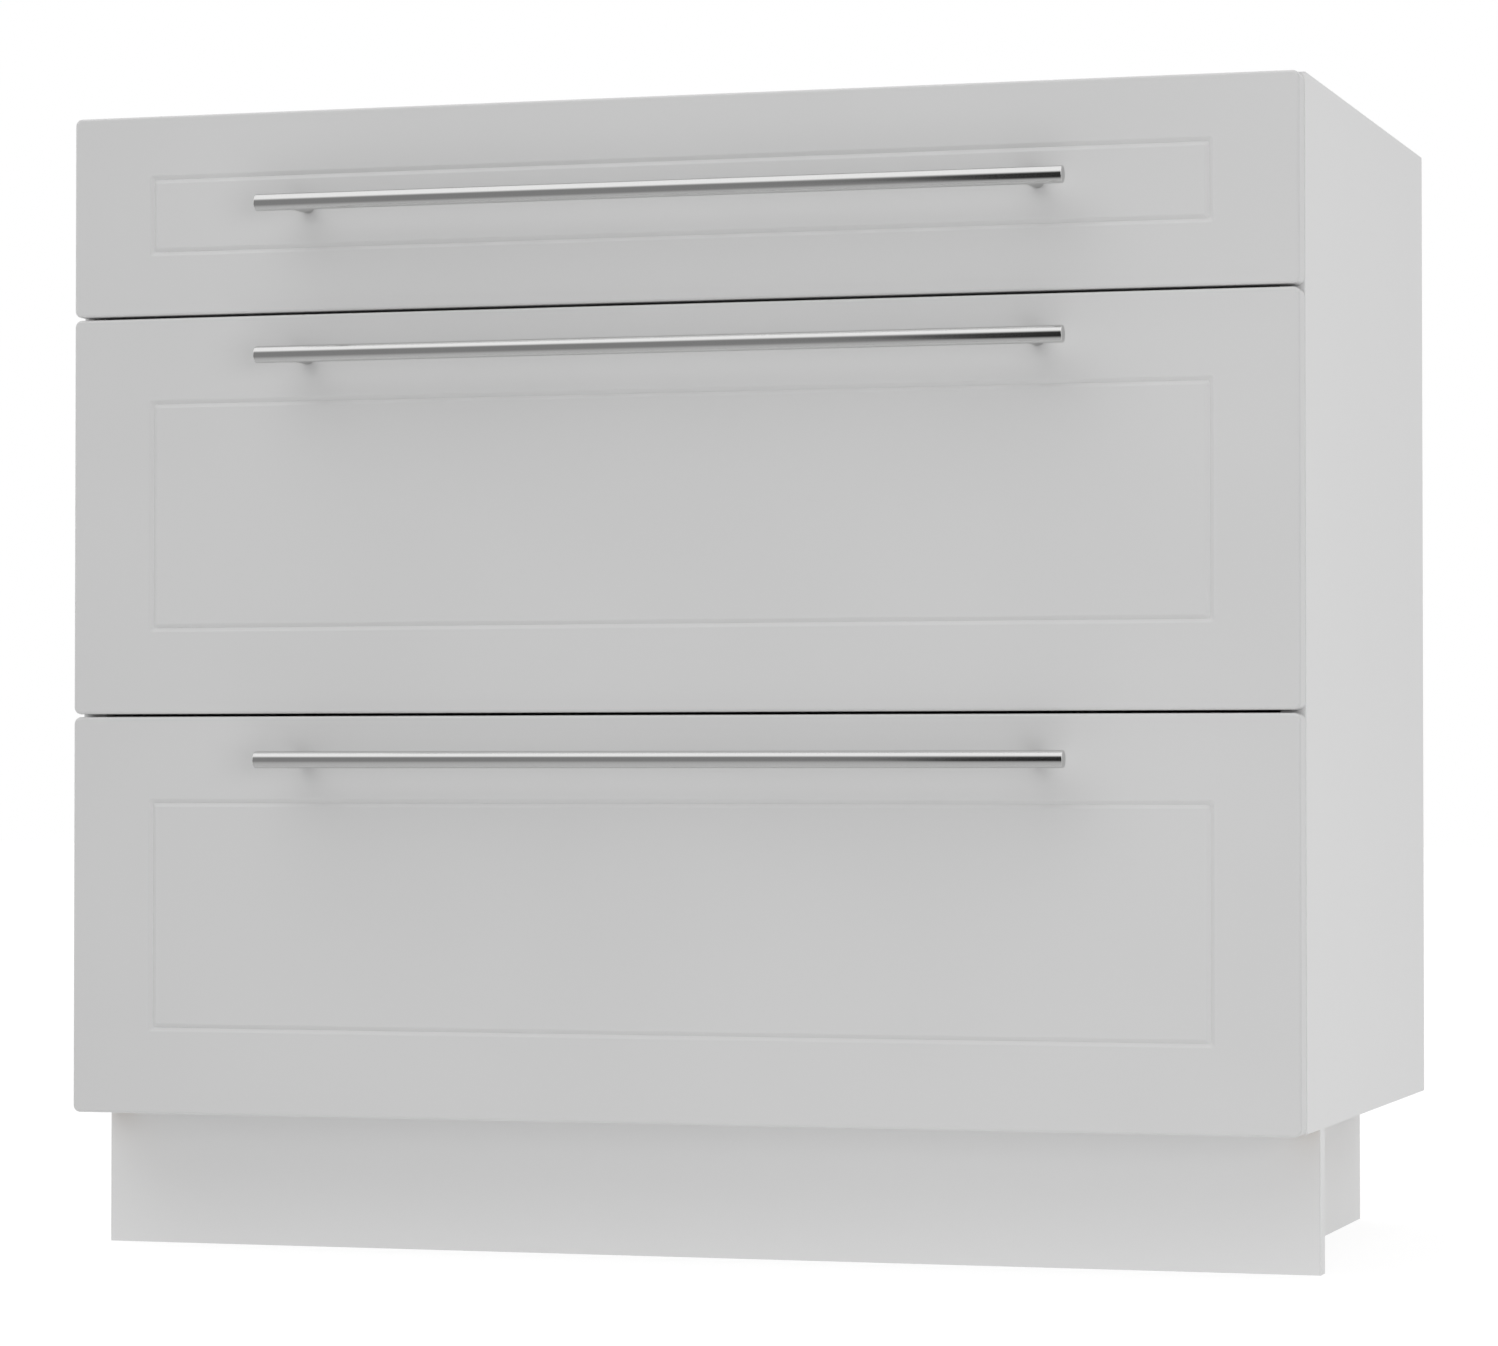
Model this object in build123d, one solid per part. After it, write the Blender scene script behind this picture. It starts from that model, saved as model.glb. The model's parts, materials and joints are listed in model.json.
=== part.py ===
from build123d import *
from dataclasses import dataclass
import os

# Kitchen base cabinet with three drawers, on a plinth frame. Sizes are in millimetres.
# X runs along the width, +Y towards the wall and +Z up. The origin is on the floor, at the centre of the
# footprint that the carcass and the handles fill together.

# ---- driving dimensions ------------------------------------------------------------------------------

# carcass of melamine-faced chipboard
cabinet_width = 900
carcass_height = 720
carcass_depth = 496
board = 18
rail_width = 96
back_thickness = 3
back_inset = 10                 # rear edge of the carcass to the back panel
back_groove_depth = 8
banded_edge_radius = 0.8        # front edges of the side panels and ends of the plinth front
groove_clearance = 0.2          # spare room of a panel in its groove
worktop_hole_radius = 2.5       # in the two rails, for the screws that hold a worktop
worktop_hole_inset = 82         # inner face of a side panel to such a hole

# plinth frame
plinth_height = 100
plinth_board = 16
plinth_setback = 50             # carcass front to plinth front
return_inset = 50               # side of the carcass to the outer face of a return

# drawer fronts of foil-wrapped board, with a V-shaped frame line routed in the face
front_thickness = 18
front_side_reveal = 0.5         # side of the carcass to the end of a front
front_top_drop = 1              # top of the carcass to the top front
front_bottom_overlap = 1        # how far the lowest front reaches below the carcass
front_gap = 2                   # between two fronts
shallow_front_height = 144.5
front_corner_radius = 5
front_edge_radius = 2.0
front_back_edge_radius = 0.6
frame_line_width = 5.6
frame_line_depth = 1.5
frame_line_root = 0.4           # flat at the bottom of the line
frame_line_shoulder = 2.2       # rounding of the line's rims
frame_line_corner = 2.0
frame_margin = 62               # edge of a front to the middle of its frame line
shallow_frame_margin = 46       # upper and lower edge of the shallow front to the same

# soft buffers on the side panels, which hold the fronts off the carcass
buffer_gap = 1.0
buffer_play = 0.1
buffer_radius = 4
buffer_inset = 25               # upper or lower edge of a front to a buffer

# bar handles
handle_length = 588
handle_radius = 6
handle_standoff = 34            # front to the bar's axis
handle_overhang = 26            # post to the end of the bar
handle_end_chamfer = 0.8
handle_post_radius = 5
handle_post_seat = 4            # how deep a post enters the bar
handle_post_clearance = 0.05
shallow_handle_drop = 69.5      # top of the front to the bar's axis
deep_handle_drop = 31.2
handle_screw_radius = 1.95
handle_screw_bite = 7           # length in the post
handle_screw_head_radius = 4
handle_screw_head_height = 2.4
handle_screw_access_radius = 8  # bore in the board behind the head

# drawer boxes
box_board = 16
box_lift = 31                   # lower edge of a front to the box
box_top_drop = 54               # top of a deep front to the box
box_rail_clearance = 12         # top of the highest box to the rails
box_rear_clearance = 24         # rear of a box to the back panel
box_bottom_thickness = 4
box_bottom_rise = 10            # lower edge of a box side to the bottom
box_groove_depth = 6

# ball-bearing runners of three members, which let a drawer open by their full length
runner_setback = 3              # carcass front to the members
runner_rear_clearance = 30      # members to the back panel
runner_height = 45.5
runner_thickness = 12.7
runner_rise = 34                # lower edge of a box side to the runner's middle
runner_sheet = 1.2
runner_end_gap = 0.5            # lips of the two outer channels to the drawer member's web
runner_gap = 0.25               # between a ball cage and the lips beside it
cage_sheet = 0.4
cage_web_gap = 0.2              # between the webs of a cage and of a member
cage_end_spare = 22.5           # cage to the end of a member, with the drawer open or shut
balls_per_row = 4
ball_end_inset = 15             # end of a cage to its first ball
ball_clearance = 0.1
outer_ball_radius = 2.0
inner_ball_radius = 1.5
access_slot_length = 24         # slots in the intermediate member's web
access_slot_height = 9
access_slot_inset = 38
member_screw_inset = 75         # end of a member to its first screw

# countersunk screws
screw_clearance = 0.1
member_screw_head_radius = 3.0
member_screw_shank_radius = 1.75
member_screw_skin = 3           # board left beyond the tip
board_screw_head_radius = 4.0
board_screw_head_height = 2.4
board_screw_shank_radius = 2.0
board_screw_bite = 14           # length in the second board
board_screw_inset = 22          # lower or upper edge of a box to a screw
front_screw_inset = 70          # outer face of a box side to the screws that hold the front
recess_depth = 1.0
recess_width = 0.8
recess_reach = 0.6              # arm of the cross recess, as a part of the head's radius
tip_radius = 0.35
tip_length = 4

# cam fittings
cam_radius = 7.5
cam_height = 12.5
cam_edge_distance = 24          # end of the board to the cam's middle
cam_mouth_radius = 4.0
cam_slot_width = 1.6
cam_slot_depth = 2.0
cam_slot_end = 2                # slot to the rim of the cam
cam_bolt_thread_radius = 2.5
cam_bolt_shank_radius = 3.0
cam_bolt_head_radius = 3.6
cam_bolt_head_height = 3.6
cam_bolt_neck = 2.5             # thinner length under the head
cam_bolt_skin = 7               # side panel left beyond the bolt
rail_joint_inset = 28           # long edges of a rail to its cam and its dowel
bottom_cam_inset = 60           # carcass front or back panel to a cam
bottom_dowel_inset = 120

# wooden dowels
dowel_radius = 4
dowel_length = 30
dowel_skin = 6                  # board left beyond a dowel that stands in its face
dowel_chamfer = 0.8
bore_spare = 1                  # room at the end of a blind bore
plinth_dowel_inset = 25         # lower and upper edge of a return to its dowels in the plinth front
return_dowel_inset = 45         # ends of a return to the dowels in its top edge

# ---- places worked out from them ---------------------------------------------------------------------

handle_reach = buffer_gap + front_thickness + handle_standoff + handle_radius
carcass_rear = (carcass_depth + handle_reach) / 2
carcass_front = carcass_rear - carcass_depth
carcass_base = plinth_height
carcass_top = carcass_base + carcass_height
outer_x = cabinet_width / 2
inner_x = outer_x - board
rail_base = carcass_top - board
back_rear = carcass_rear - back_inset
back_front = back_rear - back_thickness

front_back_y = carcass_front - buffer_gap
front_face_y = front_back_y - front_thickness
front_width = cabinet_width - 2 * front_side_reveal
handle_y = front_face_y - handle_standoff

box_half_width = inner_x - runner_thickness
box_inner_x = box_half_width - box_board
box_rear = back_front - box_rear_clearance
runner_front = carcass_front + runner_setback
runner_length = back_front - runner_rear_clearance - runner_front
drawer_travel = runner_length
cage_length = runner_length - drawer_travel / 2 - 2 * cage_end_spare
cage_front = runner_front + (runner_length - cage_length) / 2
member_screw_ys = [runner_front + inset for inset in
                   (member_screw_inset, runner_length / 2, runner_length - member_screw_inset)]
access_slot_ys = [runner_front + inset for inset in
                  (access_slot_inset, runner_length / 2, runner_length - access_slot_inset)]

# Across a runner, u runs from the side panel to the drawer box, and v up and down from the middle.
outer_cage_web = (runner_sheet + cage_web_gap, runner_sheet + cage_web_gap + cage_sheet)
intermediate_web = (outer_cage_web[1] + cage_web_gap, outer_cage_web[1] + cage_web_gap + runner_sheet)
inner_cage_web = (intermediate_web[1] + cage_web_gap, intermediate_web[1] + cage_web_gap + cage_sheet)
drawer_web = (runner_thickness - runner_sheet, runner_thickness)
lip_end = drawer_web[0] - runner_end_gap
lip_start = lip_end - runner_sheet
cage_flange_end = lip_start - runner_gap
drawer_lip = (inner_cage_web[1] + runner_gap, inner_cage_web[1] + runner_gap + runner_sheet)
outer_ball_u = (outer_cage_web[1] + lip_start) / 2
inner_ball_u = (drawer_lip[1] + lip_start) / 2
lip_clearance = cage_sheet / 2 + runner_gap

cabinet_flange = (runner_height / 2 - runner_sheet, runner_height / 2)
outer_ball_v = cabinet_flange[0] - ball_clearance - outer_ball_radius
intermediate_top = outer_ball_v - outer_ball_radius - ball_clearance
intermediate_flange = (intermediate_top - runner_sheet, intermediate_top)
inner_ball_v = intermediate_flange[0] - ball_clearance - inner_ball_radius
drawer_member_top = inner_ball_v - inner_ball_radius - ball_clearance
drawer_flange = (drawer_member_top - runner_sheet, drawer_member_top)


@dataclass(frozen=True)
class Drawer:
    """Heights of one drawer: its front, its box and its handle."""
    name: str
    front_base: float
    front_height: float
    box_top: float
    line_margin: float
    handle_drop: float

    @property
    def front_top(self):
        return self.front_base + self.front_height

    @property
    def box_base(self):
        return self.front_base + box_lift

    @property
    def runner_middle(self):
        return self.box_base + runner_rise

    @property
    def handle_z(self):
        return self.front_top - self.handle_drop


def stack_of_drawers():
    """The shallow front comes at the top, and the deep ones share the rest of the height."""
    covered = carcass_height - front_top_drop + front_bottom_overlap
    deep_height = (covered - 2 * front_gap - shallow_front_height) / 2
    upper_base = carcass_top - front_top_drop - shallow_front_height
    drawers = [Drawer("upper", upper_base, shallow_front_height, rail_base - box_rail_clearance,
                      shallow_frame_margin, shallow_handle_drop)]
    for name in ("centre", "lower"):
        top = drawers[-1].front_base - front_gap
        drawers.append(Drawer(name, top - deep_height, deep_height, top - box_top_drop,
                              frame_margin, deep_handle_drop))
    return drawers


DRAWERS = stack_of_drawers()
SIDES = (-1, 1)
LOW = (Align.CENTER, Align.CENTER, Align.MIN)

# ---- shapes ------------------------------------------------------------------------------------------


def block(x_range, y_range, z_range):
    """A box between three pairs of limits, each in either order."""
    spans = [sorted(pair) for pair in (x_range, y_range, z_range)]
    sizes = [high - low for low, high in spans]
    return Pos(*(low for low, _ in spans)) * Box(*sizes, align=(Align.MIN,) * 3)


def rod(start, direction, radius, length):
    """A round bar, or a bore, that starts at a point."""
    return Plane(origin=start, z_dir=direction) * Cylinder(radius, length, align=LOW)


def turned(start, direction, outline):
    """A turned piece from the (radius, distance) points along its axis."""
    points = [(0, outline[0][1]), *outline, (0, outline[-1][1])]
    face = make_face(Plane.XZ * Polyline(*points, close=True))
    return Plane(origin=start, z_dir=direction) * revolve(face, Axis.Z)


def group(pieces):
    """One node of several separate solids."""
    return Compound(children=[solid for piece in pieces for solid in piece.solids()])


def cross_recess(start, direction, head_radius):
    """The cross cut in a screw's head."""
    slot = Box(2 * recess_reach * head_radius, recess_width, recess_depth, align=LOW)
    return Plane(origin=start, z_dir=direction) * (slot + Rot(0, 0, 90) * slot)


@dataclass(frozen=True)
class Countersunk:
    """A countersunk screw that starts at the top of its head, and the hole that takes it."""
    head_radius: float
    head_height: float
    shank_radius: float
    length: float

    def outline(self, grow):
        return [
            (self.head_radius + grow, 0),
            (self.shank_radius + grow, self.head_height),
            (self.shank_radius + grow, self.length - tip_length),
            (tip_radius + grow, self.length + grow),
        ]

    def screw(self, start, direction):
        return turned(start, direction, self.outline(0)) - cross_recess(start, direction, self.head_radius)

    def hole(self, start, direction):
        return turned(start, direction, self.outline(screw_clearance))


member_screw = Countersunk(member_screw_head_radius, runner_sheet, member_screw_shank_radius,
                           runner_sheet + min(board, box_board) - member_screw_skin)
board_screw = Countersunk(board_screw_head_radius, board_screw_head_height, board_screw_shank_radius,
                          box_board + board_screw_bite)


def screws_and_holes(kind, places):
    """Screws of one kind at (start, direction) places, and their holes."""
    return [kind.screw(*place) for place in places], [kind.hole(*place) for place in places]


# ---- carcass joints ----------------------------------------------------------------------------------


def end_joints(rail_ys, bottom_ys):
    """(y, z) of the joints in the ends of the rails and of the bottom panel."""
    heights = (rail_base + board / 2, carcass_base + board / 2)
    return [(y, z) for z, ys in zip(heights, (rail_ys, bottom_ys)) for y in ys]


def cam_places():
    """(side, y, z) of each cam, where z is the middle of the board that holds it."""
    joints = end_joints((carcass_front + rail_joint_inset, back_front - rail_joint_inset),
                        (carcass_front + bottom_cam_inset, back_front - bottom_cam_inset))
    return [(side, y, z) for side in SIDES for y, z in joints]


def cam_lock(side, y, z):
    """A cam that opens downwards, with a screwdriver slot and a mouth for the bolt's head."""
    middle_x = side * (inner_x - cam_edge_distance)
    base = z - board / 2
    slot_reach = cam_radius - cam_slot_end
    body = rod((middle_x, y, base), (0, 0, 1), cam_radius, cam_height)
    mouth = rod((side * inner_x, y, z), (-side, 0, 0), cam_mouth_radius,
                cam_edge_distance + cam_bolt_head_height)
    slot = block((middle_x - slot_reach, middle_x + slot_reach),
                 (y - cam_slot_width / 2, y + cam_slot_width / 2), (base, base + cam_slot_depth))
    return body - mouth - slot


def cam_pocket(side, y, z):
    """The cam's bore in the underside of its board, and the bolt's bore from the end of the board."""
    pocket = rod((side * (inner_x - cam_edge_distance), y, z - board / 2), (0, 0, 1),
                 cam_radius + screw_clearance, cam_height + screw_clearance)
    return pocket + rod((side * inner_x, y, z), (-side, 0, 0), cam_mouth_radius, cam_edge_distance)


def cam_bolt(side, y, z):
    """The bolt that stands out of a side panel and ends in a cam."""
    depth = board - cam_bolt_skin
    head_end = depth + cam_edge_distance + cam_bolt_head_height / 2
    head_start = head_end - cam_bolt_head_height
    outline = [
        (cam_bolt_thread_radius, 0),
        (cam_bolt_thread_radius, depth),
        (cam_bolt_shank_radius, depth),
        (cam_bolt_shank_radius, head_start - cam_bolt_neck),
        (cam_bolt_thread_radius, head_start - cam_bolt_neck),
        (cam_bolt_thread_radius, head_start),
        (cam_bolt_head_radius, head_start),
        (cam_bolt_head_radius, head_end),
    ]
    return turned((side * (inner_x + depth), y, z), (-side, 0, 0), outline)


def cam_bolt_bore(side, y, z):
    """The bolt's blind bore in the side panel."""
    depth = board - cam_bolt_skin + bore_spare
    return rod((side * inner_x, y, z), (side, 0, 0), cam_bolt_thread_radius + screw_clearance, depth)


def dowel_places():
    """(centre of the joint, direction into the drilled face, depth in that face) of each dowel."""
    side_depth = board - dowel_skin
    front_depth = plinth_board - dowel_skin
    rail_inset = rail_width - rail_joint_inset
    joints = end_joints((carcass_front + rail_inset, back_front - rail_inset),
                        (carcass_front + bottom_dowel_inset, back_front - bottom_dowel_inset))
    return_x = outer_x - return_inset - plinth_board / 2
    return_front = carcass_front + plinth_setback + plinth_board
    return_ys = (return_front + return_dowel_inset, carcass_rear - return_dowel_inset)
    heights = (plinth_dowel_inset, plinth_height - plinth_dowel_inset)
    places = []
    for side in SIDES:
        places += [((side * inner_x, y, z), (side, 0, 0), side_depth) for y, z in joints]
        places += [((side * return_x, return_front, z), (0, -1, 0), front_depth) for z in heights]
        places += [((side * return_x, y, carcass_base), (0, 0, 1), side_depth) for y in return_ys]
    return places


def dowel(joint, direction, depth):
    """A chamfered dowel, part in the drilled face and the rest in the edge of the other board."""
    edge = dowel_radius - dowel_chamfer
    outline = [(edge, 0), (dowel_radius, dowel_chamfer), (dowel_radius, dowel_length - dowel_chamfer),
               (edge, dowel_length)]
    start = Vector(*joint) + Vector(*direction) * depth
    return turned(start, -Vector(*direction), outline)


def dowel_bore(joint, direction, depth):
    """The dowel's bores in both boards, with room at each end."""
    start = Vector(*joint) + Vector(*direction) * (depth + bore_spare)
    return rod(start, -Vector(*direction), dowel_radius + screw_clearance, dowel_length + 2 * bore_spare)


# ---- carcass -----------------------------------------------------------------------------------------


def side_panels(bores):
    groove_floor = inner_x + back_groove_depth
    panels = {}
    for side, name in zip(SIDES, ("left_side_panel", "right_side_panel")):
        panel = block((side * inner_x, side * outer_x), (carcass_front, carcass_rear),
                      (carcass_base, carcass_top))
        front_edges = panel.edges().filter_by(Axis.Z).group_by(Axis.Y)[0]
        panel = fillet(front_edges, banded_edge_radius)
        panel -= block((side * inner_x, side * groove_floor), (back_front - groove_clearance, back_rear),
                       (carcass_base, carcass_top))
        panels[name] = panel - [bore for bore in bores if bore.center().X * side > 0]
    return panels


def bottom_panel(bores):
    panel = block((-inner_x, inner_x), (carcass_front, carcass_rear), (carcass_base, carcass_base + board))
    groove = block((-inner_x, inner_x), (back_front - groove_clearance, back_rear),
                   (carcass_base + board - back_groove_depth, carcass_base + board))
    return panel - groove - bores


def rails(bores):
    hole_x = inner_x - worktop_hole_inset
    shapes = {}
    for name, front in (("front_rail", carcass_front), ("rear_rail", back_front - rail_width)):
        rail = block((-inner_x, inner_x), (front, front + rail_width), (rail_base, carcass_top))
        worktop_holes = [rod((side * hole_x, front + rail_width / 2, rail_base), (0, 0, 1),
                             worktop_hole_radius, board) for side in SIDES]
        shapes[name] = rail - worktop_holes - bores
    return shapes


def back_panel():
    half_width = inner_x + back_groove_depth - groove_clearance
    base = carcass_base + board - back_groove_depth + groove_clearance
    return block((-half_width, half_width), (back_front, back_rear), (base, carcass_top))


def plinth_boards(bores):
    front = carcass_front + plinth_setback
    rear = front + plinth_board
    outer = outer_x - return_inset
    front_board = block((-outer_x, outer_x), (front, rear), (0, plinth_height))
    boards = {"plinth_front": fillet(front_board.edges().filter_by(Axis.Z), banded_edge_radius) - bores}
    for side, name in zip(SIDES, ("plinth_left_return", "plinth_right_return")):
        boards[name] = block((side * (outer - plinth_board), side * outer), (rear, carcass_rear),
                             (0, plinth_height)) - bores
    return boards


def buffer_pads():
    """Discs on the front edges of the side panels, near the corners of every front."""
    pads = []
    for drawer in DRAWERS:
        heights = (max(drawer.front_base, carcass_base) + buffer_inset, drawer.front_top - buffer_inset)
        pads += [rod((side * (outer_x - board / 2), carcass_front, z), (0, -1, 0), buffer_radius,
                     buffer_gap - buffer_play) for side in SIDES for z in heights]
    return group(pads)


def carcass():
    """Every piece that stands still."""
    dowels = dowel_places()
    cams = cam_places()
    dowel_bores = [dowel_bore(*place) for place in dowels]
    pockets = [cam_pocket(*place) for place in cams]
    member_places = [((side * (inner_x - runner_sheet), y, drawer.runner_middle), (side, 0, 0))
                     for drawer in DRAWERS for side in SIDES for y in member_screw_ys]
    member_screws, member_holes = screws_and_holes(member_screw, member_places)
    members = [cabinet_member(side, drawer) - member_holes for drawer in DRAWERS for side in SIDES]
    return {
        **side_panels(dowel_bores + member_holes + [cam_bolt_bore(*place) for place in cams]),
        "bottom_panel": bottom_panel(dowel_bores + pockets),
        **rails(dowel_bores + pockets),
        "back_panel": back_panel(),
        **plinth_boards(dowel_bores),
        "cam_locks": group(cam_lock(*place) for place in cams),
        "cam_bolts": group(cam_bolt(*place) for place in cams),
        "wood_dowels": group(dowel(*place) for place in dowels),
        "runner_cabinet_members": group(members),
        "runner_cabinet_screws": group(member_screws),
        "buffer_pads": buffer_pads(),
    }


# ---- runners -----------------------------------------------------------------------------------------


def channel(side, drawer, rectangles, front, length):
    """A straight profile of (u range, v range) rectangles, each repeated below the runner's middle."""
    middle = drawer.runner_middle
    blocks = [block((side * (inner_x - u_low), side * (inner_x - u_high)), (front, front + length),
                    (middle + mirror_v * v_low, middle + mirror_v * v_high))
              for (u_low, u_high), (v_low, v_high) in rectangles for mirror_v in (-1, 1)]
    return blocks[0] + blocks[1:]


def cabinet_member(side, drawer):
    """The outer channel, which is screwed to the side panel."""
    web = ((0, runner_sheet), (0, cabinet_flange[1]))
    flange = ((0, lip_end), cabinet_flange)
    lip = ((lip_start, lip_end), (outer_ball_v + lip_clearance, cabinet_flange[1]))
    return channel(side, drawer, (web, flange, lip), runner_front, runner_length)


def intermediate_member(side, drawer):
    """The middle channel, with slots in its web to reach the screws behind it."""
    web = (intermediate_web, (0, intermediate_flange[1]))
    flange = ((intermediate_web[0], lip_end), intermediate_flange)
    lip = ((lip_start, lip_end), (inner_ball_v + lip_clearance, outer_ball_v - lip_clearance))
    member = channel(side, drawer, (web, flange, lip), runner_front, runner_length)
    slot_x = side * (inner_x - sum(intermediate_web) / 2)
    outline = SlotOverall(access_slot_length, access_slot_height)
    planes = [Plane(origin=(slot_x, y, drawer.runner_middle), x_dir=(0, 1, 0), z_dir=(1, 0, 0))
              for y in access_slot_ys]
    return member - [extrude(plane * outline, runner_sheet, both=True) for plane in planes]


def drawer_member(side, drawer):
    """The inner channel, which is screwed to the drawer box."""
    web = (drawer_web, (0, drawer_flange[1]))
    flange = ((drawer_lip[0], drawer_web[1]), drawer_flange)
    lip = (drawer_lip, (drawer_flange[1], inner_ball_v - lip_clearance))
    return channel(side, drawer, (web, flange, lip), runner_front, runner_length)


def ball_cage(side, drawer, web_u, ball_u, ball_v, ball_radius):
    """A thin channel with a row of balls in each flange, and the balls."""
    web = (web_u, (0, ball_v + cage_sheet / 2))
    flange = ((web_u[0], cage_flange_end), (ball_v - cage_sheet / 2, ball_v + cage_sheet / 2))
    strip = channel(side, drawer, (web, flange), cage_front, cage_length)
    pitch = (cage_length - 2 * ball_end_inset) / (balls_per_row - 1)
    centres = [(side * (inner_x - ball_u), cage_front + ball_end_inset + pitch * i,
                drawer.runner_middle + row * ball_v) for row in SIDES for i in range(balls_per_row)]
    holes = [rod((x, y, z - cage_sheet), (0, 0, 1), ball_radius + ball_clearance, 2 * cage_sheet)
             for x, y, z in centres]
    return [strip - holes, *(Pos(*centre) * Sphere(ball_radius) for centre in centres)]


def ball_cages(drawer, *sizes):
    return group(piece for side in SIDES for piece in ball_cage(side, drawer, *sizes))


# ---- drawer fronts and handles -----------------------------------------------------------------------


def frame_line(face, height, margin):
    """The cutter of a V-shaped line, routed as a frame."""
    line_width, line_height = front_width - 2 * frame_margin, height - 2 * margin
    planes = (face, face.offset(-frame_line_depth))

    def frustum(*offsets):
        """Runs from the face to the line's floor, at an offset from the line's middle in each."""
        return loft([plane * RectangleRounded(line_width + 2 * offset, line_height + 2 * offset,
                                              frame_line_corner) for plane, offset in zip(planes, offsets)])

    rim, root = frame_line_width / 2, frame_line_root / 2
    return frustum(rim, root) - frustum(-rim, -root)


def drawer_front(drawer):
    """A front with rounded corners and edges, and the frame line in its face."""
    face = Plane(origin=(0, front_face_y, drawer.front_base + drawer.front_height / 2),
                 x_dir=(1, 0, 0), z_dir=(0, -1, 0))
    outline = RectangleRounded(front_width, drawer.front_height, front_corner_radius)
    front = extrude(face * outline, -front_thickness)
    front = fillet(front.faces().sort_by(Axis.Y)[0].edges(), front_edge_radius)
    front = fillet(front.faces().sort_by(Axis.Y)[-1].edges(), front_back_edge_radius)
    front -= frame_line(face, drawer.front_height, drawer.line_margin)
    margin_face, middle_face = front.faces().group_by(Axis.Y)[0].sort_by(SortBy.AREA, reverse=True)
    if not margin_face.inner_wires():
        margin_face, middle_face = middle_face, margin_face
    rims = margin_face.inner_wires()[0].edges() + middle_face.outer_wire().edges()
    return fillet(rims, frame_line_shoulder)


def handle_xs():
    """Middles of the two posts."""
    return [side * (handle_length / 2 - handle_overhang) for side in SIDES]


def handle_bar(drawer, post_end_y):
    """The bar, with a blind seat for each post."""
    end = handle_radius - handle_end_chamfer
    outline = [(end, 0), (handle_radius, handle_end_chamfer),
               (handle_radius, handle_length - handle_end_chamfer), (end, handle_length)]
    bar = turned((-handle_length / 2, handle_y, drawer.handle_z), (1, 0, 0), outline)
    return bar - [rod((x, post_end_y, drawer.handle_z), (0, 1, 0), handle_post_radius + handle_post_clearance,
                      handle_radius) for x in handle_xs()]


def handle_post(x, z, post_end_y):
    """A post, with the threaded bore for its screw."""
    post = rod((x, front_face_y, z), (0, -1, 0), handle_post_radius, front_face_y - post_end_y)
    return post - rod((x, front_face_y, z), (0, -1, 0), handle_screw_radius + screw_clearance,
                      handle_screw_bite + bore_spare)


def handle_screw(x, z):
    """A pan-head machine screw from behind the front into a post."""
    head_start = (x, front_back_y + handle_screw_head_height, z)
    length = handle_screw_head_height + front_thickness + handle_screw_bite
    head = rod(head_start, (0, -1, 0), handle_screw_head_radius, handle_screw_head_height)
    shank = rod(head_start, (0, -1, 0), handle_screw_radius, length)
    return head + shank - cross_recess(head_start, (0, -1, 0), handle_screw_head_radius)


def handle(drawer):
    """Nodes of a handle, and the bores for its screws in the front and the board behind it."""
    z = drawer.handle_z
    post_end_y = handle_y + handle_radius - handle_post_seat
    nodes = {
        "handle_bar": handle_bar(drawer, post_end_y),
        "handle_posts": group(handle_post(x, z, post_end_y) for x in handle_xs()),
        "handle_screws": group(handle_screw(x, z) for x in handle_xs()),
    }
    screw_bores = [rod((x, front_back_y, z), (0, -1, 0), handle_screw_radius + screw_clearance,
                       front_thickness) for x in handle_xs()]
    access_bores = [rod((x, front_back_y, z), (0, 1, 0), handle_screw_access_radius, box_board)
                    for x in handle_xs()]
    return nodes, screw_bores, access_bores


# ---- drawer boxes ------------------------------------------------------------------------------------


def box_screw_places(drawer):
    """(start, direction) of the screws at the corners of a box, and of those that hold its front."""
    heights = (drawer.box_base + board_screw_inset, drawer.box_top - board_screw_inset)
    corner_ys = (front_back_y + box_board / 2, box_rear - box_board / 2)
    fixing_x = box_half_width - front_screw_inset
    places = []
    for side in SIDES:
        for z in heights:
            places += [((side * box_half_width, y, z), (-side, 0, 0)) for y in corner_ys]
            places.append(((side * fixing_x, front_back_y + box_board, z), (0, -1, 0)))
    return places


def box_boards(drawer, holes, member_holes, access_bores):
    """Two sides, an inner front and a back around a bottom that slides in from behind."""
    base, top = drawer.box_base, drawer.box_top
    bottom_base = base + box_bottom_rise
    bottom_top = bottom_base + box_bottom_thickness
    inner_front_rear = front_back_y + box_board
    groove_x = box_inner_x + box_groove_depth
    groove_front = inner_front_rear - box_groove_depth
    groove = block((-groove_x, groove_x), (groove_front, box_rear),
                   (bottom_base, bottom_top + groove_clearance))
    boards = {}
    for side, name in zip(SIDES, ("box_left_side", "box_right_side")):
        wall = block((side * box_inner_x, side * box_half_width), (front_back_y, box_rear), (base, top))
        boards[name] = wall - groove - holes - member_holes
    inner_front = block((-box_inner_x, box_inner_x), (front_back_y, inner_front_rear), (base, top))
    boards["box_inner_front"] = inner_front - groove - holes - access_bores
    boards["box_back"] = block((-box_inner_x, box_inner_x), (box_rear - box_board, box_rear),
                               (bottom_top + groove_clearance, top)) - holes
    boards["box_bottom"] = block((-groove_x + groove_clearance, groove_x - groove_clearance),
                                 (groove_front + groove_clearance, box_rear), (bottom_base, bottom_top))
    return boards


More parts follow.
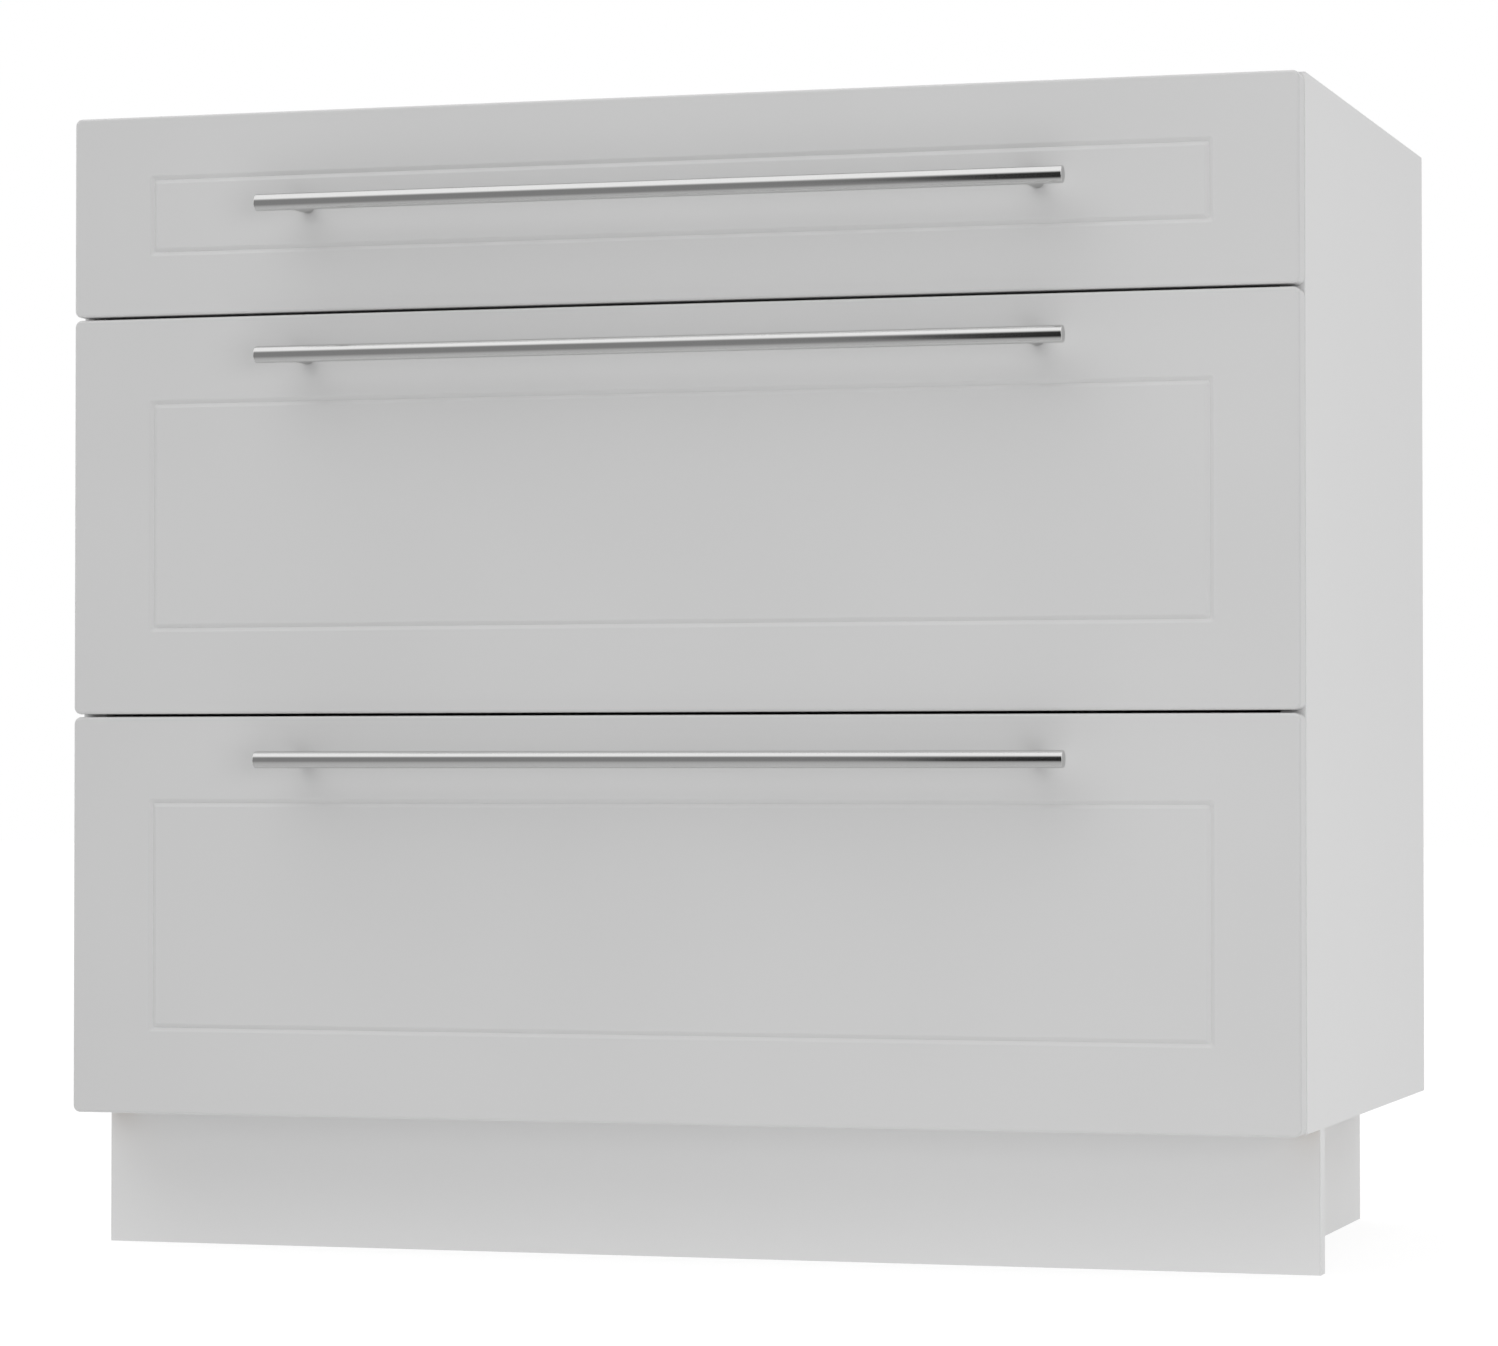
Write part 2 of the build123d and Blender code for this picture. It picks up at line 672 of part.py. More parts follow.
def drawer_nodes(drawer):
    """Every piece that moves with one drawer, and the parts of its runners that follow it."""
    handle_nodes, screw_bores, access_bores = handle(drawer)
    box_screws, box_holes = screws_and_holes(board_screw, box_screw_places(drawer))
    member_places = [((side * (box_half_width + runner_sheet), y, drawer.runner_middle), (-side, 0, 0))
                     for side in SIDES for y in member_screw_ys]
    member_screws, member_holes = screws_and_holes(member_screw, member_places)
    shapes = {
        "front": drawer_front(drawer) - screw_bores - box_holes,
        **handle_nodes,
        **box_boards(drawer, box_holes, member_holes, access_bores),
        "box_screws": group(box_screws),
        "runner_drawer_members": group(drawer_member(side, drawer) - member_holes for side in SIDES),
        "runner_drawer_screws": group(member_screws),
        "runner_intermediate_members": group(intermediate_member(side, drawer) for side in SIDES),
        "runner_outer_ball_cages": ball_cages(drawer, outer_cage_web, outer_ball_u, outer_ball_v,
                                              outer_ball_radius),
        "runner_inner_ball_cages": ball_cages(drawer, inner_cage_web, inner_ball_u, inner_ball_v,
                                              inner_ball_radius),
    }
    return {f"{drawer.name}_{part}": shape for part, shape in shapes.items()}


# ---- files -------------------------------------------------------------------------------------------

nodes = carcass()
for plan in DRAWERS:
    nodes.update(drawer_nodes(plan))

os.makedirs("parts", exist_ok=True)
for node, shape in nodes.items():
    export_step(shape, f"parts/{node}.step")
print(f"{len(nodes)} nodes, {sum(len(shape.solids()) for shape in nodes.values())} solids")
print(f"drawer travel {drawer_travel} mm, carcass front at y {carcass_front} mm")
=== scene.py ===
"""Kitchen base cabinet with three drawers: its fronts, handles and finishes, and the studio.

Lengths are in metres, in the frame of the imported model: X along the width, +Y towards the wall, +Z up.
"""

import json
import math

import bmesh
import bpy
from bpy.props import FloatProperty, FloatVectorProperty, IntProperty, PointerProperty
from mathutils import Matrix, Vector

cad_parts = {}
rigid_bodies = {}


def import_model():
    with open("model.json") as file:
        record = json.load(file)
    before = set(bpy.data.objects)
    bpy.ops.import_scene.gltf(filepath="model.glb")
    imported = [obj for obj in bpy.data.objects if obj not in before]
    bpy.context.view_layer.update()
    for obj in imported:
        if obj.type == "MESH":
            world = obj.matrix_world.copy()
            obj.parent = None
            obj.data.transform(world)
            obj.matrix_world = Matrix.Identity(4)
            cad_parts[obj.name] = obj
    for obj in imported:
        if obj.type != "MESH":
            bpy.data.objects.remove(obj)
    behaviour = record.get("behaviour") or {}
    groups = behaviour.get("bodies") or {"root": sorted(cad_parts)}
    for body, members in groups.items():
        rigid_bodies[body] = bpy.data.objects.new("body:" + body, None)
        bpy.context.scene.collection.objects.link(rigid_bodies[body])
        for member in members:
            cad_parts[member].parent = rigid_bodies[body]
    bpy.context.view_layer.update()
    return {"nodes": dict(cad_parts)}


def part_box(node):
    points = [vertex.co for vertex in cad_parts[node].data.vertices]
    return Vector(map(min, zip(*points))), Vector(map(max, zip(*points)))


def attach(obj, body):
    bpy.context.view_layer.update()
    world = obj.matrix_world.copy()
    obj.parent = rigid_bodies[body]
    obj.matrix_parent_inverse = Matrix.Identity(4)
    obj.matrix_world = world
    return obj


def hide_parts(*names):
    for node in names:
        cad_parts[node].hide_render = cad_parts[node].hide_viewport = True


bl_info = {
    "name": "Base cabinet with drawers",
    "version": (1, 0, 0),
    "blender": (4, 5, 0),
    "location": "3D View > Sidebar > Cabinet",
    "description": "Dresses a packed kitchen base cabinet with drawers and sets up its studio",
    "category": "Object",
}

for startup_object in list(bpy.data.objects):
    bpy.data.objects.remove(startup_object)
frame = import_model()

MM = 0.001
MERGE_DISTANCE = 0.001 * MM
DRAWERS = ("upper", "centre", "lower")
BOX_BOARDS = ("left_side", "right_side", "inner_front", "back")


# ---- sizes, colours and light that a user would change --------------------------------------------------


def length(name, description, default):
    """A length in metres, shown in the scene's unit."""
    return FloatProperty(name=name, description=description, default=default, min=0,
                         unit="LENGTH", precision=5)


def steps(name, description, default, least=2, most=24):
    """A number of faces."""
    return IntProperty(name=name, description=description, default=default, min=least, max=most)


def grey(level):
    """A colour without a hue."""
    return level, level, level


def colour(name, description, default):
    """A colour of a finish."""
    return FloatVectorProperty(name=name, description=description, default=default, size=3,
                               min=0, max=1, subtype="COLOR")


def strength(name, description, default):
    """A strength of the light from one side."""
    return FloatProperty(name=name, description=description, default=default, min=0, max=4)


def watts(name, description, default):
    """A lamp's power."""
    return FloatProperty(name=name, description=description, default=default, min=0, max=1000, unit="POWER")


def angle(name, description, degrees):
    """An angle, given in degrees and held in radians."""
    return FloatProperty(name=name, description=description, default=math.radians(degrees), subtype="ANGLE")


class FrontSizes(bpy.types.PropertyGroup):
    """The drawer fronts' edges and the frame line that is routed in their faces."""
    corner_radius: length("Corner radius", "Radius of a front's corners, seen from the front", 5 * MM)
    edge_radius: length("Edge radius", "Rounding of the face's edges", 2.0 * MM)
    back_edge_radius: length("Back edge radius", "Rounding of the edges at the back", 0.6 * MM)
    side_margin: length("Side margin", "End of a front to the middle of its frame line", 62 * MM)
    deep_margin: length("Deep margin", "Edge of a deep front to its frame line, up and down", 62 * MM)
    shallow_margin: length("Shallow margin", "Edge of the shallow front to its frame line", 46 * MM)
    line_width: length("Frame line width", "Width of the V-shaped line between its rims", 5.6 * MM)
    line_depth: length("Frame line depth", "Depth of the V-shaped line", 1.5 * MM)
    shoulder_radius: length("Shoulder radius", "Rounding of the line's two rims", 2.2 * MM)
    root_radius: length("Root radius", "Rounding at the bottom of the line", 0.4 * MM)
    line_corner: length("Frame line corner", "Corner radius of the frame line", 2.0 * MM)
    corner_steps: steps("Corner steps", "Faces round each corner", 7)
    edge_steps: steps("Edge steps", "Faces across each rounded edge", 6)
    root_steps: steps("Root steps", "Faces from the bottom of the line to its wall", 3, 1)


class HandleSizes(bpy.types.PropertyGroup):
    """The turned bars and their posts."""
    end_radius: length("End radius", "Rounding between a bar and its end face", 0.8 * MM)
    post_foot: length("Post foot", "Small chamfer where a post meets the front", 0.3 * MM)
    round_steps: steps("Round steps", "Faces round a bar or a post", 64, 12, 128)
    end_steps: steps("End steps", "Faces across a bar's rounded end", 4, 1, 12)


class Colours(bpy.types.PropertyGroup):
    """Colours of the finishes."""
    front_foil: colour("Front foil", "Foil on the drawer fronts", grey(0.612))
    melamine: colour("Carcass melamine", "Faces of the carcass boards", grey(0.715))
    drawer_melamine: colour("Drawer melamine", "Faces of the drawer boxes", (0.69, 0.69, 0.685))
    chipboard: colour("Chipboard", "Raw core of the boards", (0.42, 0.29, 0.165))
    hardboard: colour("Hardboard", "Bare side of the back and of the drawer bottoms", (0.20, 0.115, 0.06))
    bar_steel: colour("Bar steel", "Satin bars and posts of the handles", (0.78, 0.78, 0.775))
    runner_zinc: colour("Runner zinc", "Plated sheet of the runners", (0.56, 0.57, 0.585))
    bright_steel: colour("Bright steel", "Ball cages and screws", (0.62, 0.62, 0.61))
    cast_zinc: colour("Cast zinc", "Cam locks", (0.40, 0.405, 0.41))
    beech: colour("Beech", "Wooden dowels", (0.62, 0.41, 0.22))
    buffer: colour("Buffer", "Soft pads behind the fronts", (0.52, 0.53, 0.54))


class Studio(bpy.types.PropertyGroup):
    """Light and camera."""
    from_above: strength("From above", "Light from straight above", 1.2)
    from_below: strength("From below", "Light from straight below, as off a pale floor", 0.90)
    from_left: strength("From the left", "Light from the left", 0.56)
    from_behind: strength("From behind", "Light from behind the cabinet", 0.8)
    high: watts("High light", "Lamp high on the left", 24)
    low: watts("Low light", "Lamp below the camera, which shines through the floor", 29)
    near: watts("Near light", "Lamp on the right, at the cabinet's height", 67)
    lens: FloatProperty(name="Lens", description="Focal length in millimetres", default=120.09,
                        min=10, max=400, unit="CAMERA")
    camera_place: FloatVectorProperty(name="Camera place", description="Where the camera stands",
                                      default=(1.0635, -3.5650, 0.3424), subtype="TRANSLATION",
                                      unit="LENGTH")
    camera_pitch: angle("Camera pitch", "How far the camera looks up", 1.1753)
    camera_yaw: angle("Camera yaw", "How far the camera turns to the left", 16.7551)


# ---- node work ------------------------------------------------------------------------------------------


class Wire:
    """One output socket, so that shader maths is written as an expression."""

    def __init__(self, bench, socket):
        self.bench, self.socket = bench, socket

    def maths(self, operation, *values):
        return self.bench.node("ShaderNodeMath", {"operation": operation}, dict(enumerate(values)))[0]

    def __add__(self, other):
        return self.maths("ADD", self, other)

    def __sub__(self, other):
        return self.maths("SUBTRACT", self, other)

    def __rsub__(self, other):
        return self.maths("SUBTRACT", other, self)

    def __mul__(self, other):
        return self.maths("MULTIPLY", self, other)

    def __gt__(self, other):
        return self.maths("GREATER_THAN", self, other)

    def __lt__(self, other):
        return self.maths("LESS_THAN", self, other)

    def __abs__(self):
        return self.maths("ABSOLUTE", self)

    __radd__, __rmul__ = __add__, __mul__

    def either(self, other):
        """The larger of two values or masks."""
        return self.maths("MAXIMUM", self, other)

    def between(self, low, high):
        """Goes smoothly from 0 at low to 1 at high."""
        return self.bench.node("ShaderNodeMapRange", {"interpolation_type": "SMOOTHSTEP"},
                               {"Value": self, "From Min": low, "From Max": high})[0]


class Outputs:
    """The outputs of a node, by name or number."""

    def __init__(self, bench, node):
        self.bench, self.made = bench, node

    def __getitem__(self, key):
        return Wire(self.bench, self.made.outputs[key])


class Bench:
    """A node tree in the making."""

    def __init__(self, tree):
        self.tree = tree
        tree.nodes.clear()

    def node(self, kind, settings=None, sockets=None):
        """Adds a node, sets it up, then fills its inputs with values or wires. Returns its outputs."""
        made = self.tree.nodes.new(kind)
        for setting, value in (settings or {}).items():
            if setting == "stops":
                self.set_stops(made.color_ramp, value)
            else:
                setattr(made, setting, value)
        for socket, value in (sockets or {}).items():
            if isinstance(value, Wire):
                self.tree.links.new(value.socket, made.inputs[socket])
            else:
                made.inputs[socket].default_value = value
        return Outputs(self, made)

    @staticmethod
    def set_stops(ramp, stops):
        """Gives a ramp its (place, colour) stops."""
        while len(ramp.elements) < len(stops):
            ramp.elements.new(1)
        for element, (place, tone) in zip(ramp.elements, stops):
            element.position, element.color = place, (*tone, 1)

    def ramp(self, value, *stops):
        """A colour that runs through (place, colour) stops as a value rises."""
        return self.node("ShaderNodeValToRGB", {"stops": stops}, {0: value})[0]

    def mix(self, share_of_second, first, second):
        """Mixes two colours."""
        values = [v if isinstance(v, Wire) else (*v, 1) for v in (first, second)]
        return self.node("ShaderNodeMix", {"data_type": "RGBA"},
                         {0: share_of_second, 6: values[0], 7: values[1]})[2]

    def place(self, scale):
        """Object coordinates, drawn out by a scale along each axis."""
        at_rest = self.node("ShaderNodeTexCoord")["Object"]
        return self.node("ShaderNodeMapping", None, {"Vector": at_rest, "Scale": scale})[0]

    def noise(self, scale, detail=2.0, stretch=(1, 1, 1), roughness=0.5):
        """Soft noise round 0.5, with so many features in each metre."""
        sockets = {"Vector": self.place(stretch), "Scale": scale, "Detail": detail, "Roughness": roughness}
        return self.node("ShaderNodeTexNoise", None, sockets)["Fac"]

    def cells(self, scale, stretch=(1, 1, 1)):
        """Voronoi cells: the distance to the middle of each, and its colour."""
        return self.node("ShaderNodeTexVoronoi", None, {"Vector": self.place(stretch), "Scale": scale})

    def channel(self, tone, number):
        """One channel of a colour."""
        return self.node("ShaderNodeSeparateColor", None, {0: tone})[number]

    def coordinates(self):
        """The object's own x, y and z."""
        return self.node("ShaderNodeSeparateXYZ", None, {0: self.node("ShaderNodeTexCoord")["Object"]})

    def facing(self):
        """The x, y and z of the surface's direction."""
        return self.node("ShaderNodeSeparateXYZ", None, {0: self.node("ShaderNodeTexCoord")["Normal"]})

    def seen(self):
        """1 on rays from the camera, and on those that metal and glass send on."""
        rays = self.node("ShaderNodeLightPath")
        return rays["Is Camera Ray"].either(rays["Is Glossy Ray"]).either(rays["Is Transmission Ray"])


class Finish(Bench):
    """A material in the making."""

    def __init__(self, name):
        self.material = bpy.data.materials.new(name)
        self.material.use_nodes = True
        super().__init__(self.material.node_tree)

    def put_out(self, shader):
        """Makes a shader the surface, and returns the material."""
        self.node("ShaderNodeOutputMaterial", None, {"Surface": shader})
        return self.material

    def shade(self, tone, roughness, height, relief, plain=None):
        """Finishes the material.

        Height is a wire from 0 to 1, and relief is how deep it is. Plain values are the same all over.
        """
        bump = self.node("ShaderNodeBump", None, {"Strength": 1.0, "Distance": relief, "Height": height})[0]
        sockets = {"Base Color": tone, "Roughness": roughness, "Normal": bump, **(plain or {})}
        return self.put_out(self.node("ShaderNodeBsdfPrincipled", None, sockets)[0])


# ---- finishes -------------------------------------------------------------------------------------------

METAL = {"Metallic": 1.0}
BOARD_SKIN = 0.25 * MM
EDGE_BAND = 0.8 * MM
GLUE_LINE = 0.22 * MM
NEAR_EDGE = 0.3 * MM


def toned(tone, factor):
    """A colour times a number."""
    return tuple(channel * factor for channel in tone)


def foil_finish(tone):
    """Satin foil pressed over routed board: a very fine orange peel and a faint cloudiness."""
    f = Finish("front_foil")
    cloud = f.noise(5).between(0.3, 0.7)
    grain = f.noise(1400)
    base = f.mix(cloud * 0.6 + grain * 0.4, toned(tone, 0.985), toned(tone, 1.012))
    peel = f.noise(420) * 0.7 + grain * 0.3
    return f.shade(base, 0.34 + grain * 0.06 + cloud * 0.02, peel, 0.012 * MM)


def chipboard_core(f, tone, across, low, high):
    """Raw chipboard: coarse chips in the middle and fine ones near the two faces. Gives colour and height."""
    middle, half = (low + high) / 2, (high - low) / 2
    depth = abs(across - middle) * (1 / half)
    coarse = 1 - depth.between(0.45, 0.75)
    chips = f.cells(330, (1, 1, 1.6))
    flakes = f.cells(900, (1.3, 1, 1))
    value = f.channel(chips["Color"], 0) * coarse + f.channel(flakes["Color"], 1) * (1 - coarse)
    fleck = f.ramp(value, (0.0, toned(tone, 0.42)), (0.25, toned(tone, 0.78)), (0.6, tone),
                   (1.0, toned(tone, 1.35)))
    # The pits are also painted darker in the colour: painted shade in the hollows between the chips.
    pits = chips["Distance"].between(0.35, 0.6) * coarse
    return f.mix(pits * 0.6, fleck, toned(tone, 0.3)), value * 0.5 + (1 - pits) * 0.5


def side_of(code):
    """The axis and the direction of a side such as "+z"."""
    return code[1], 1 if code[0] == "+" else -1


def from_side(place, node, side):
    """How far a point is from a side of a node."""
    axis, direction = side_of(side)
    low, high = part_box(node)
    return abs(place[axis.upper()] - getattr(high if direction > 0 else low, axis))


def facing_side(facing, side, least):
    """Where the surface faces a side, to at least so much of its direction."""
    axis, direction = side_of(side)
    return facing[axis.upper()] * direction > least


def edge_mask(place, facing, node, edge):
    """Where a board's edge is, such as "+z" for its upper edge."""
    return facing_side(facing, edge, 0.7) * (from_side(place, node, edge) < NEAR_EDGE)


def board_finish(name, node, tone, core_tone, raw_edges, banded_edges):
    """Melamine-faced chipboard. Banded edges have a glue line, and raw ones show the core inside its skins."""
    f = Finish(name)
    place, facing = f.coordinates(), f.facing()
    cloud, pearl = f.noise(7), f.noise(1150, 3, roughness=0.6)
    base = f.mix(cloud * 0.5 + pearl * 0.5, toned(tone, 0.985), toned(tone, 1.012))
    for edge in banded_edges:
        off = from_side(place, node, edge)
        glue = (off > EDGE_BAND) * (off < EDGE_BAND + GLUE_LINE)
        base = f.mix(glue * 0.35, base, toned(tone, 0.62))
        base = f.mix((off < EDGE_BAND) * 0.5, base, toned(tone, 1.01))
    low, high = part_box(node)
    thin = min("xyz", key=lambda axis: getattr(high - low, axis))
    across, thin_low, thin_high = place[thin.upper()], getattr(low, thin), getattr(high, thin)
    raw = edge_mask(place, facing, node, raw_edges[0])
    for edge in raw_edges[1:]:
        raw = raw.either(edge_mask(place, facing, node, edge))
    raw = raw * ((across > thin_low + BOARD_SKIN) * (across < thin_high - BOARD_SKIN))
    core, core_height = chipboard_core(f, core_tone, across, thin_low, thin_high)
    rough = 0.33 + pearl * 0.16 + raw * 0.45
    height = pearl * (1 - raw) * 0.08 + core_height * raw
    return f.shade(f.mix(raw, base, core), rough, height, 0.25 * MM)


def hardboard_finish(name, painted, bare, bare_side):
    """Thin fibre board with one lacquered side. The other has a woven press mark and loose fibres."""
    f = Finish(name)
    is_bare = facing_side(f.facing(), bare_side, 0.5)
    fibres = f.noise(260, 5, (1, 1, 2.2), 0.65)
    specks = f.noise(1500, 3).between(0.35, 0.75)
    brown = f.ramp(fibres * 0.7 + specks * 0.3,
                   (0.25, toned(bare, 0.55)), (0.5, bare), (0.75, toned(bare, 1.5)))
    press_mark = f.cells(900)["Distance"]
    lacquer = f.mix(f.noise(9), toned(painted, 0.98), toned(painted, 1.01))
    fine = f.noise(700)
    height = (press_mark * 0.6 + fibres * 0.4) * is_bare + fine * 0.12 * (1 - is_bare)
    return f.shade(f.mix(is_bare, lacquer, brown), 0.36 + is_bare * 0.42 + fine * 0.06, height, 0.12 * MM)


def bar_finish(tone, along):
    """Satin steel, ground round the bar: fine rings, and a little wander in the polish."""
    f = Finish("handle_steel")
    stretch = {"x": (1, 0.03, 0.03), "y": (0.03, 1, 0.03)}[along]
    rings = f.noise(2600, 3, stretch, 0.7)
    polish = f.noise(30)
    base = f.mix(rings, toned(tone, 0.97), toned(tone, 1.02))
    return f.shade(base, 0.085 + rings * 0.05 + polish * 0.02, rings, 0.0012 * MM,
                   {**METAL, "Specular Tint": (*grey(0.7), 1)})


def plated_finish(name, tone, roughness, patch_scale=180, relief=0.008 * MM):
    """Plated sheet or turned steel: patchy brightness and fine draw marks."""
    f = Finish(name)
    patches = f.noise(patch_scale, 3, (1, 0.25, 1), 0.6)
    marks = f.noise(1900, 2, (1, 0.06, 1))
    base = f.mix(patches, toned(tone, 0.86), toned(tone, 1.08))
    rough = roughness + patches * 0.12 + marks * 0.06
    return f.shade(base, rough, marks * 0.6 + patches * 0.4, relief, METAL)


def cast_finish(tone):
    """Die-cast zinc, dull and finely pitted."""
    f = Finish("cam_zinc")
    skin = f.noise(1300, 4, roughness=0.7)
    base = f.mix(skin, toned(tone, 0.8), toned(tone, 1.12))
    return f.shade(base, 0.42 + skin * 0.16, skin, 0.03 * MM, METAL)


def beech_finish(tone):
    """Planed beech: grain along the dowel with short darker flecks."""
    f = Finish("beech")
    grain = f.noise(900, 4, (0.08, 1, 1), 0.65)
    flecks = f.noise(700, 2, (0.25, 1, 1)).between(0.58, 0.7)
    base = f.mix(grain, toned(tone, 0.82), toned(tone, 1.1))
    return f.shade(f.mix(flecks * 0.45, base, toned(tone, 0.5)), 0.55 + grain * 0.15, grain, 0.05 * MM)


def buffer_finish(tone):
    """Soft clear-grey plastic pads."""
    f = Finish("buffer_rubber")
    haze = f.noise(600)
    return f.shade(f.mix(haze, toned(tone, 0.93), toned(tone, 1.05)), 0.38 + haze * 0.12, haze, 0.01 * MM)


# ---- shapes ---------------------------------------------------------------------------------------------


def arc(count, turned=math.pi / 2):
    """(sine, cosine) pairs over part of a turn."""
    angles = [turned * step / count for step in range(count + 1)]
    return [(math.sin(a), math.cos(a)) for a in angles]


def front_loops(sizes, thickness, upright_margin):
    """The closed lines of a front, from the middle of its back to the middle of its face.

    Each is (inset from the ends, inset from the upper and lower edge, height above the back, corner radius).
    """
    back, edge = sizes.back_edge_radius, sizes.edge_radius
    shoulder, root = sizes.shoulder_radius, sizes.root_radius
    half = sizes.line_width / 2
    slope = math.atan2(sizes.line_depth, half)
    border = [(back * (1 - sine), back * (1 - cosine)) for sine, cosine in arc(sizes.edge_steps)]
    border += [(edge * (1 - cosine), thickness - edge * (1 - sine)) for sine, cosine in arc(sizes.edge_steps)]
    rim_start = half + shoulder * math.tan(slope / 2)
    outer = [(shoulder * sine - rim_start, thickness - shoulder * (1 - cosine))
             for sine, cosine in arc(sizes.edge_steps, slope)]
    root_middle = thickness - sizes.line_depth + root / math.cos(slope)
    outer += [(-root * sine, root_middle - root * cosine)
              for sine, cosine in reversed(arc(sizes.root_steps, slope))]
    line = outer + [(-offset, height) for offset, height in reversed(outer[:-1])]
    loops = [(inset, inset, height, sizes.corner_radius - inset) for inset, height in border]
    loops += [(sizes.side_margin + offset, upright_margin + offset, height, sizes.line_corner)
              for offset, height in line]
    return loops


def corner_centre(low, high, loop, side_x, side_z):
    """Where the arc of one corner has its centre."""
    inset_x, inset_z, height, radius = loop
    x = high.x - inset_x - radius if side_x > 0 else low.x + inset_x + radius
    z = high.z - inset_z - radius if side_z > 0 else low.z + inset_z + radius
    return Vector((x, high.y - height, z))


def shell_of_loops(bm, low, high, loops, corner_steps):
    """Grows a closed shell from its back: each line is extruded, and its corners moved and scaled."""
    inset_x, inset_z, _, radius = loops[0]
    corners = [bm.verts.new((x, high.y, z)) for x, z in (
        (low.x + inset_x, low.z + inset_z), (high.x - inset_x, low.z + inset_z),
        (high.x - inset_x, high.z - inset_z), (low.x + inset_x, high.z - inset_z))]
    bm.faces.new(corners)
    bmesh.ops.bevel(bm, geom=corners, offset=radius, offset_type="OFFSET", affect="VERTICES",
                    segments=corner_steps, profile=0.5, material=-1)
    line, middle = list(bm.edges), (low + high) / 2
    for old, new in zip(loops, loops[1:]):
        made = bmesh.ops.extrude_edge_only(bm, edges=line)["geom"]
        points = {item for item in made if isinstance(item, bmesh.types.BMVert)}
        line = [item for item in made if isinstance(item, bmesh.types.BMEdge) and set(item.verts) <= points]
        for side_x, side_z in ((-1, -1), (1, -1), (1, 1), (-1, 1)):
            corner = [v for v in points
                      if (v.co.x - middle.x) * side_x > 0 and (v.co.z - middle.z) * side_z > 0]
            was, now = (corner_centre(low, high, loop, side_x, side_z) for loop in (old, new))
            size = new[3] / old[3]
            bmesh.ops.scale(bm, vec=(size, 1, size), space=Matrix.Translation(-was), verts=corner)
            bmesh.ops.translate(bm, vec=now - was, verts=corner)
    bmesh.ops.edgeloop_fill(bm, edges=line)


def turn(bm, start, direction, outline, round_steps):
    """A turned piece from the (distance along, radius) points of its outline, closed at both ends."""
    outline = [(outline[0][0], 0), *outline, (outline[-1][0], 0)]
    side = direction.orthogonal().normalized()
    line = [bm.verts.new(start + direction * along + side * radius) for along, radius in outline]
    edges = [bm.edges.new(pair) for pair in zip(line, line[1:])]
    bmesh.ops.spin(bm, geom=line + edges, cent=start, axis=direction, angle=2 * math.pi,
                   steps=round_steps, use_merge=True)


def mesh_object(name, bm, material):
    """Turns mesh work into an object of the scene, at the origin."""
    mesh = bpy.data.meshes.new(name)
    bm.to_mesh(mesh)
    bm.free()
    mesh.materials.append(material)
    made = bpy.data.objects.new(name, mesh)
    bpy.context.scene.collection.objects.link(made)
    return made


def add_piece(name, body, finish, node, build):
    """Makes a piece in mesh code, closes it, and lets it ride on its body in place of a node."""
    bm = bmesh.new()
    build(bm)
    bmesh.ops.remove_doubles(bm, verts=bm.verts, dist=MERGE_DISTANCE)
    bmesh.ops.recalc_face_normals(bm, faces=bm.faces)
    for face in bm.faces:
        face.smooth = True
    piece = mesh_object(name, bm, finish)
    piece.modifiers.new("flat_faces_stay_flat", "WEIGHTED_NORMAL").keep_sharp = True
    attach(piece, body)
    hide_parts(node)


def dress(node, finish):
    """Gives a node of the frame its finish."""
    for slot in frame["nodes"][node].material_slots:
        slot.link = "OBJECT"
        slot.material = finish


# ---- operators ------------------------------------------------------------------------------------------


class CABINET_OT_drawer_fronts(bpy.types.Operator):
    """Makes the three drawer fronts, with rounded edges and a routed frame line"""
    bl_idname = "cabinet.drawer_fronts"
    bl_label = "Drawer fronts"

    def execute(self, context):
        sizes = context.scene.cabinet_fronts
        finish = foil_finish(tuple(context.scene.cabinet_colours.front_foil))
        for drawer in DRAWERS:
            low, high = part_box(f"{drawer}_front")
            margin = sizes.shallow_margin if drawer == "upper" else sizes.deep_margin
            loops = front_loops(sizes, high.y - low.y, margin)
            add_piece(f"{drawer}_front_panel", f"{drawer}_drawer", finish, f"{drawer}_front",
                      lambda bm: shell_of_loops(bm, low, high, loops, sizes.corner_steps))
        return {"FINISHED"}


